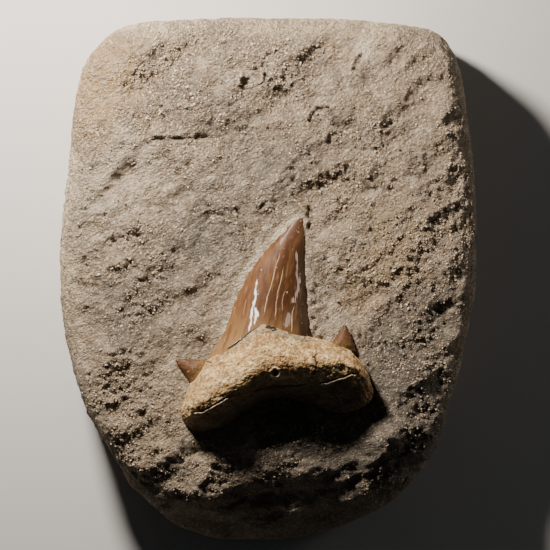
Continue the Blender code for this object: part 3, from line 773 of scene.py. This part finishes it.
# How far pits, ledges and steps lower the face
low = np.zeros(x.shape)
jagged = 0.9 * cloudy(points, 3.4, 5.0) + 0.5 * cloudy(points, 1.5, 9.0)
for px, py, half_width, half_height, depth in PITS:
    away = np.hypot((x - px) / half_width, (y - py) / half_height) + 0.6 * jagged
    low = np.maximum(low, PIT_SHARE * depth * eased(1.35 - 0.8 * away))
for depth, reach, line in LEDGES:
    side, along = side_of(x + 1.6 * jagged, y + 1.6 * jagged, line)
    ends = eased(6.0 * np.minimum(along, 1.0 - along))
    low += LEDGE_SHARE * depth * ends * eased(side / LEDGE_SPREAD + 0.5) * (1.0 - eased((side - 1.0) / reach))
wander = 2.6 * cloudy(flat_places, 11.0)
for drop, line in STEPS:
    side, _ = side_of(x + jagged, y + wander + jagged, line)
    low += drop * eased(side / STEP_RISER + 0.5)
low += END_FALL * np.clip(END_FALL_FROM - y, 0.0, None) ** 2

# The layers leave soft folds, nearly twice as long as they are wide
along_beds = (x * math.cos(BED_ANGLE) + y * math.sin(BED_ANGLE)) / 1.9
across_beds = x * math.sin(BED_ANGLE) - y * math.cos(BED_ANGLE)
beds = np.stack([along_beds, across_beds, np.zeros(x.shape)], axis=1)
folds = 1.8 * cloudy(beds, 9.5, 3.0) + 0.80 * cloudy(beds, 4.4, 17.0) + 0.36 * cloudy(points, 2.2, 23.0)
folds += 2.0 * (0.2 - np.abs(cloudy(beds, 11.0, 41.0))) + 0.8 * (0.2 - np.abs(cloudy(beds, 5.0, 47.0)))

# How much the sand crumbles, from 0 to 1: less beside the tooth, where it was cleaned, and on the rim
crumbly = 0.32 + 1.0 * cloudy(flat_places, 15.0, 31.0) + 0.8 * cloudy(flat_places, 5.0, 37.0)
crumbly = np.clip(crumbly + 0.8 * spotted(x, y, CRUMBLE_SPOTS), 0.03, 1.0)
crumbly *= 1.0 - 0.8 * np.where(under_tooth, 1.0, beside_tooth)
rim_line = [tuple(place) for place in outline[::4]]
rim = eased((6.5 - np.abs(side_of(x, y, rim_line + rim_line[:1])[0])) / 3.5)
crumbly *= 1.0 - 0.3 * rim * (y > -25.0)

pecked = np.abs(cloudy(points, 2.3, 51.0)) + 0.6 * np.abs(cloudy(points, 1.2, 57.0))
grit = 0.50 * cloudy(points, 1.3, 61.0) + 0.32 * cloudy(points, 0.85, 67.0)
crack_wander = 0.6 * cloudy(flat_places, 1.4, 71.0)
cracks = scored(x, y, SLAB_CRACKS, crack_wander, 0.6 * cloudy(points, 1.1, 75.0)) * up
ridges = scored(x, y, SLAB_RIDGES, 0.6 * cloudy(flat_places, 1.6, 73.0)) * up
calm = 1.0 - 0.75 * beside_tooth
lift = 0.6 * rough * up * calm
lift += (folds * (1.0 - 0.55 * rim) + 0.55 * crumbly * (pecked - 0.35)) * up * calm
lift += ridges - cracks + (0.60 + 0.60 * crumbly) * grit * up

# Matrix left standing against the tooth: a thin broken bead at its left, a soft bank at the crown's right
crown_left = eased((9.0 - x) / 2.0) * eased((y + 16.0) / 3.0) * eased((18.0 - y) / 2.0)
crown_right = eased((x - 9.0) / 1.5) * eased((y + 15.5) / 2.0) * eased((10.0 - y) / 8.0)
broken = np.clip(0.80 + 0.6 * cloudy(points, 1.6, 91.0), 0.3, 1.2)
bead = 0.65 * crown_left * broken * np.exp(-(((from_tooth - 0.45) / 0.6) ** 2)) * eased((15.0 - y) / 5.0)
bead += 1.3 * crown_right * broken * np.exp(-((from_tooth / 1.8) ** 2))
bead *= on_top
points[:, 2] = z - low * share * (1.0 - beside_tooth) + lift + bead
outwards = 0.22 * rough - WALL_LEAN * np.clip(FACE - z, 0.0, None)
patchy = np.clip(0.55 + 0.9 * cloudy(points, 14.0, 83.0), 0.15, 1.0)
wall_lumps = 0.6 * cloudy(points, 4.6, 81.0) + 0.45 * cloudy(points, 2.1, 87.0)
outwards += (1.0 - up) * (patchy * wall_lumps + 0.5 * grit)
points[:, :2] += facing[:, :2] * outwards[:, None]
points[:, 2] = np.where(z < 0.2, z, np.maximum(points[:, 2], 0.2))

# What stands out furthest is pressed in softly, so that the stone stays within the box of the solids
BOX_GAP = 0.1
SOFT_BAND = 1.1
for axis in (0, 1):
    for sign, limit in ((-1.0, -cad_box[0][axis] / MM - BOX_GAP), (1.0, cad_box[1][axis] / MM - BOX_GAP)):
        over = np.maximum(sign * points[:, axis] - (limit - SOFT_BAND), 0.0)
        points[:, axis] -= sign * (over - SOFT_BAND * np.tanh(over / SOFT_BAND))
put_back(slab, points)
bpy.ops.object.shade_smooth()
note(slab, "crumbly", crumbly)
warm = spotted(x, y, WARM_SPOTS) * (0.45 + 0.55 * up) + 0.5 * cloudy(points, 6.0, 95.0) - 0.12
note(slab, "warm", np.clip(warm, 0.0, 1.0))
# The rim towards the upper left, the side that faces the lamp, is kept for a painted highlight
note(slab, "rim", rim * eased((y + 30.0) / 30.0) * eased((40.0 - x) / 16.0))
bleached = spotted(x, y, PALE_SPOTS) * (0.8 + 0.8 * cloudy(points, 3.0, 97.0))
note(slab, "bleached", np.clip(bleached, 0.0, 1.0))
greyed = np.clip(spotted(x, y, GREY_SPOTS), 0.0, 1.0)
note(slab, "grey", greyed)
# Darker in the pecked hollows, the cracks and the lowered places: a painted shade in the recesses
note(slab, "hollow_shade", np.clip((0.35 - pecked) * 1.6 * crumbly + 1.2 * cracks + low * 0.12, 0.0, 1.0))
# The round pale print near the top right corner
PRINT_SPOT = [(25.2, 59.6, 2.4, 1.0)]
# Pale lines on the bead at the crown's left edge, which faces the lamp, and on the raised shell-print ridges:
# partly pale matrix, partly a painted highlight; the round print is pale stone
pale_lines = np.maximum(eased(1.5 - from_tooth / 0.8) * on_top * crown_left * broken, 0.9 * ridges)
note(slab, "pale_print_and_edge_highlight", np.maximum(pale_lines, 0.7 * spotted(x, y, PRINT_SPOT)))

# Where loose grains lie: none under the tooth, in cracks, low on the walls or at the outermost points
HALF_SPAN = (54.0, 67.8)
near_box = np.maximum(np.abs(points[:, 0]) / HALF_SPAN[0], np.abs(points[:, 1]) / HALF_SPAN[1]) > 0.992
bare = under_tooth & on_top
swept = np.where(bare | near_box | (z < 1.5), 0.0, 1.0) * eased(1.0 - 3.0 * cracks)
worn = 1.0 - 0.6 * greyed
note(slab, "sandy", swept * worn * (0.2 + 0.8 * crumbly) * (0.25 + 0.75 * up))
note(slab, "gravelly", swept * crumbly ** 2.6 * up)

stone = Finish("sandy_matrix", (0.475, 0.352, 0.236), 0.94)
speckled = stone.sum_up("MULTIPLY_ADD", stone.noted("crumbly"), 0.70, 0.45)
# The rim at the upper left is painted pale and warm: partly the ground rim's own warm colour, partly a
# painted highlight where it faces the lamp
stone.tint((1.0, 0.76, 0.48), stone.noted("rim"), 0.85)
stone.tint((0.31, 0.235, 0.168), stone.window(stone.clouds(12.0, 4.0), 0.49, 0.62), 0.6)
stone.tint((0.60, 0.385, 0.185), stone.noted("warm"), 0.85)
# Greyer and darker in spots; below the root and beside its right end this is partly painted shade
stone.tint((0.22, 0.178, 0.135), stone.noted("grey"), 0.8)
stone.tint((0.80, 0.66, 0.49), stone.noted("bleached"), 0.7)
stone.tint((0.74, 0.585, 0.415), stone.window(stone.clouds(3.4, 5.0), 0.50, 0.64), 0.7)
shaded = stone.clouds(2.2, 5.0, (1.5, 1.0, 1.0), BED_ANGLE, 0.62)
stone.tint((0.29, 0.215, 0.145), stone.window(shaded, 0.53, 0.66), 0.55)
dark_grit = stone.window(stone.clouds(0.8, 4.0, roughness=0.62), 0.53, 0.64)
stone.tint((0.17, 0.118, 0.074), stone.sum_up("MULTIPLY", dark_grit, speckled), 0.75)
stone.tint((0.95, 0.82, 0.63), stone.window(stone.clouds(0.62, 3.0), 0.55, 0.64), 0.65)
stone.tint((0.52, 0.35, 0.19), stone.noted("warm"), 0.35)
stone.tint((0.19, 0.157, 0.12), stone.noted("grey"), 0.42)
stone.tint((0.46, 0.26, 0.10), stone.window(stone.clouds(0.8, 2.0), 0.66, 0.73), 0.5)
black_grit = stone.window(stone.clouds(0.52, 1.0), 0.66, 0.72)
stone.tint((0.09, 0.062, 0.038), stone.sum_up("MULTIPLY", black_grit, speckled), 0.6)
rim_grit = stone.window(stone.clouds(0.75, 3.0), 0.54, 0.63)
stone.tint((0.30, 0.205, 0.125), stone.sum_up("MULTIPLY", rim_grit, stone.noted("rim")), 0.65)
# Painted shade in the hollows, cracks and lowered places
stone.tint((0.20, 0.145, 0.095), stone.noted("hollow_shade"), 0.25)
# Paler on the raised edges, partly a painted highlight, and on the pale print
stone.tint((1.0, 0.83, 0.58), stone.noted("pale_print_and_edge_highlight"), 0.9)
fine_relief = stone.clouds(0.75, 5.0, (1.5, 1.0, 1.0), BED_ANGLE, 0.68)
stone.emboss(stone.sum_up("MULTIPLY", fine_relief, speckled), 7.5)
coarse_relief = stone.clouds(2.0, 5.0, (1.7, 1.0, 1.0), BED_ANGLE, 0.62)
stone.emboss(stone.sum_up("MULTIPLY", coarse_relief, speckled), 6.5)
stone.emboss(stone.window(stone.cells(0.52), 0.75, 0.1), 0.22)
stone.lay_on(slab)
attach(slab, "root")
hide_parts("matrix_block")


# Loose grains of sand
# The rock is phosphate sand and crumbs of fish bone. Where the tool broke it, single grains stand out of
# the face and each throws its own small shadow. They are cemented in and don't come off.

# Dark, usual and light grains
GRAIN_SHADES = ((0.20, 0.143, 0.090), (0.43, 0.32, 0.215), (0.76, 0.61, 0.44))
# Name: how many, least and most radius, seed, and the note on the slab that says where they lie
GRAINS = {
    "grains_coarse": (1100, 0.22, 0.44, 3, "gravelly"),
    "grains_middle": (5200, 0.15, 0.30, 11, "sandy"),
    "grains_small": (8000, 0.12, 0.24, 23, "sandy"),
    "grains_fine": (9300, 0.10, 0.19, 37, "sandy"),
}


def spread_grains(ground, name, count, least, most, seed, weight):
    """Scatters faceted grains over a copy of the slab, half sunk, and leaves only the grains."""
    pick(ground)
    bpy.ops.object.duplicate()
    grains = bpy.context.object
    grains.name = name
    grains.data.name = name
    # The density that gives the wanted count, where the note says how likely a grain is
    areas = np.empty(len(grains.data.polygons))
    grains.data.polygons.foreach_get("area", areas)
    chances = np.empty(len(grains.data.vertices), dtype=np.float32)
    grains.data.attributes[weight].data.foreach_get("value", chances)
    starts = np.empty(len(grains.data.polygons), dtype=np.int32)
    grains.data.polygons.foreach_get("loop_start", starts)
    corners = np.empty(len(grains.data.loops), dtype=np.int32)
    grains.data.loops.foreach_get("vertex_index", corners)
    face_chances = np.add.reduceat(chances[corners], starts) / np.diff(np.append(starts, len(corners)))
    density = count / float((areas * face_chances).sum())

    tree = bpy.data.node_groups.new(name, "GeometryNodeTree")
    tree.interface.new_socket("Ground", in_out="INPUT", socket_type="NodeSocketGeometry")
    tree.interface.new_socket("Grains", in_out="OUTPUT", socket_type="NodeSocketGeometry")

    def lay(kind, **settings):
        node = tree.nodes.new(kind)
        for setting, value in settings.items():
            setattr(node, setting, value)
        return node

    def random(low, high, kind, shift):
        """One seeded random number or three; the node has other sockets for each kind."""
        node = lay("FunctionNodeRandomValue", data_type=kind)
        first, result = {"FLOAT_VECTOR": (0, 0), "FLOAT": (2, 1)}[kind]
        node.inputs[first].default_value = low
        node.inputs[first + 1].default_value = high
        node.inputs["Seed"].default_value = seed + shift
        return node.outputs[result]

    def reckon(operation, first, second):
        node = lay("ShaderNodeMath", operation=operation)
        for socket, value in zip(node.inputs, (first, second)):
            if isinstance(value, (int, float)):
                socket.default_value = value
            else:
                tree.links.new(value, socket)
        return node.outputs[0]

    entry, way_out = lay("NodeGroupInput"), lay("NodeGroupOutput")
    where = lay("GeometryNodeInputNamedAttribute", data_type="FLOAT")
    where.inputs["Name"].default_value = weight
    spread = lay("GeometryNodeDistributePointsOnFaces")
    spread.inputs["Seed"].default_value = seed
    tree.links.new(entry.outputs[0], spread.inputs["Mesh"])
    tree.links.new(reckon("MULTIPLY", where.outputs[0], density), spread.inputs["Density"])
    # One grain: a twenty-sided crumb, more often small than big, uneven and turned any way
    crumb = lay("GeometryNodeMeshIcoSphere")
    crumb.inputs["Radius"].default_value = 1.0
    crumb.inputs["Subdivisions"].default_value = 1
    chance = reckon("POWER", random(0.0, 1.0, "FLOAT", 1), 1.8)
    radius = reckon("ADD", reckon("MULTIPLY", chance, (most - least) * MM), least * MM)
    size = lay("ShaderNodeVectorMath", operation="SCALE")
    tree.links.new(random((0.65, 0.65, 0.65), (1.25, 1.25, 1.25), "FLOAT_VECTOR", 2), size.inputs[0])
    tree.links.new(radius, size.inputs["Scale"])
    place = lay("GeometryNodeInstanceOnPoints")
    tree.links.new(spread.outputs["Points"], place.inputs["Points"])
    tree.links.new(crumb.outputs["Mesh"], place.inputs["Instance"])
    turned = random((0.0, 0.0, 0.0), (6.28, 6.28, 6.28), "FLOAT_VECTOR", 3)
    tree.links.new(turned, place.inputs["Rotation"])
    tree.links.new(size.outputs[0], place.inputs["Scale"])
    shade = lay("GeometryNodeStoreNamedAttribute", data_type="FLOAT", domain="INSTANCE")
    shade.inputs["Name"].default_value = "shade"
    tree.links.new(place.outputs[0], shade.inputs["Geometry"])
    tree.links.new(random(0.0, 1.0, "FLOAT", 4), shade.inputs["Value"])
    whole = lay("GeometryNodeRealizeInstances")
    tree.links.new(shade.outputs[0], whole.inputs[0])
    tree.links.new(whole.outputs[0], way_out.inputs[0])
    scatter = grains.modifiers.new("scatter", "NODES")
    scatter.node_group = tree
    apply_modifiers(grains)
    return grains


dark, usual, light = GRAIN_SHADES
for name, (count, least, most, seed, weight) in GRAINS.items():
    grains = spread_grains(slab, name, count, least, most, seed, weight)
    sand = Finish(name, usual, 0.9)
    sand.tint(dark, sand.window(sand.noted("shade"), 0.40, 0.10), 0.9)
    sand.tint(light, sand.window(sand.noted("shade"), 0.52, 0.88), 0.9)
    sand.emboss(sand.clouds(0.3, 2.0), 0.08)
    sand.lay_on(grains)
    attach(grains, "root")
    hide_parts("matrix_block")


# Setting of the picture
# The slab lies on its back on a pale table. A soft lamp stands low at the upper left, so that every
# grain throws a shadow, and a weak one opposite keeps the far side readable.

TABLE_SIZE = 3.0

bpy.ops.object.select_all(action="DESELECT")
bpy.ops.mesh.primitive_plane_add(size=TABLE_SIZE)
table = bpy.context.object
table.name = "table"
table_finish = bpy.data.materials.new("table_top")
table_finish.use_nodes = True
table_shader = table_finish.node_tree.nodes["Principled BSDF"]
table_shader.inputs["Base Color"].default_value = (0.62, 0.60, 0.57, 1.0)
table_shader.inputs["Roughness"].default_value = 0.85
table.data.materials.append(table_finish)

look_at = Vector((0.0, 0.0, FACE * MM))


def add_lamp(name, towards, elevation, distance, size, power, colour):
    """A soft round lamp that stands in a direction seen from above, at a height angle, facing the slab."""
    lamp = bpy.data.lights.new(name, "AREA")
    lamp.shape = "DISK"
    lamp.size = size
    lamp.energy = power
    lamp.color = colour
    holder = bpy.data.objects.new(name, lamp)
    bpy.context.scene.collection.objects.link(holder)
    flat = Vector((towards[0], towards[1], 0.0)).normalized() * math.cos(elevation)
    holder.location = look_at + (flat + Vector((0.0, 0.0, math.sin(elevation)))) * distance
    holder.rotation_euler = (look_at - holder.location).to_track_quat("-Z", "Y").to_euler()


add_lamp("key_lamp", (-0.53, 0.85), math.radians(33), 0.225, 0.040, 1.58, (1.0, 0.945, 0.875))
add_lamp("fill_lamp", (0.93, 0.36), math.radians(2.5), 0.5, 0.12, 0.42, (1.0, 0.97, 0.93))

world = bpy.data.worlds.new("studio")
bpy.context.scene.world = world
world.use_nodes = True
world.node_tree.nodes["Background"].inputs["Color"].default_value = (0.78, 0.89, 1.0, 1.0)
world.node_tree.nodes["Background"].inputs["Strength"].default_value = 0.020

# The camera looks straight down from far off; what it sees is this wide and has this middle, in metres
PHOTO_WIDTH = 0.1422
PHOTO_MIDDLE = (0.0018, 0.0010)
camera = bpy.data.cameras.new("camera")
camera.lens = 600.0
camera.clip_start = 0.01
holder = bpy.data.objects.new("camera", camera)
bpy.context.scene.collection.objects.link(holder)
camera_height = PHOTO_WIDTH * camera.lens / camera.sensor_width
holder.location = (PHOTO_MIDDLE[0], PHOTO_MIDDLE[1], FACE * MM + camera_height)
bpy.context.scene.camera = holder
